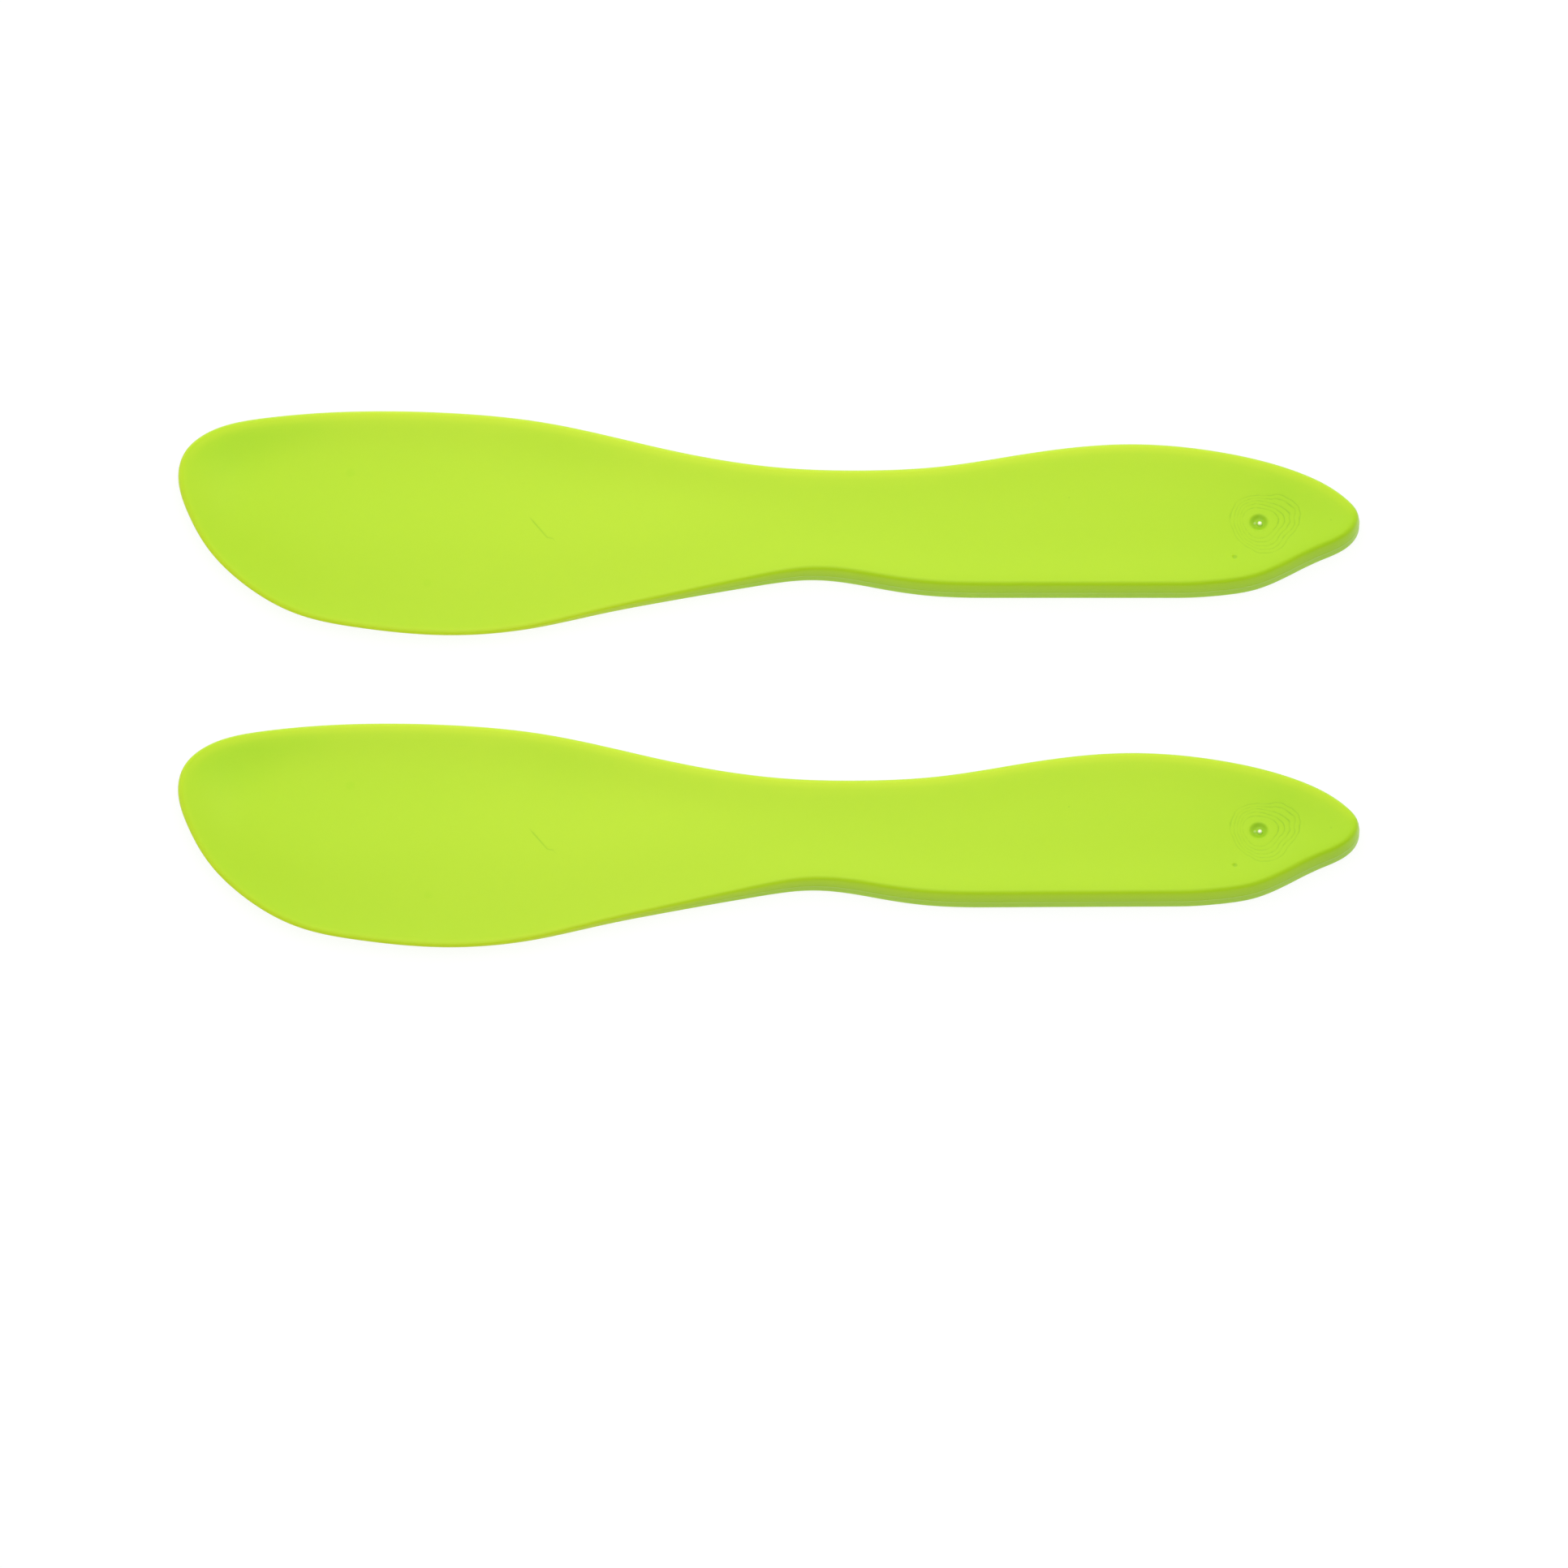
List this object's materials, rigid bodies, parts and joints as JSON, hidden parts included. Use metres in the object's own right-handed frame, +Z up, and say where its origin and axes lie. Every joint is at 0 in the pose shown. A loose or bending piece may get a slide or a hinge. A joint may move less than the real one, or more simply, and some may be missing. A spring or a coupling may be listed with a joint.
{
  "type": "spreading knife pair",
  "caption": "Matching one-piece moulded plastic spreading knives laid side by side, each with a leaf-shaped blade, waisted neck and pointed flat handle.",
  "frame": {"origin": "bottom centre of the box around the pair, on the plane the handles' undersides rest on", "axes": "+X along the knives from blade tips to handle tails, +Y from the front knife to the rear knife and from each knife's curved spreading edge to its spine, +Z up from the table"},
  "size_m": [0.17, 0.0888, 0.0042],
  "materials": {
    "lime_plastic": "satin"
  },
  "bodies": {
    "rear": {"rear_knife": "lime_plastic"},
    "front": {"front_knife": "lime_plastic"}
  },
  "joints": [
    {"name": "front_lift", "type": "slide", "parent": "rear", "child": "front", "axis": [0, 0, 1], "range_m": [0, 0.15]}
  ]
}
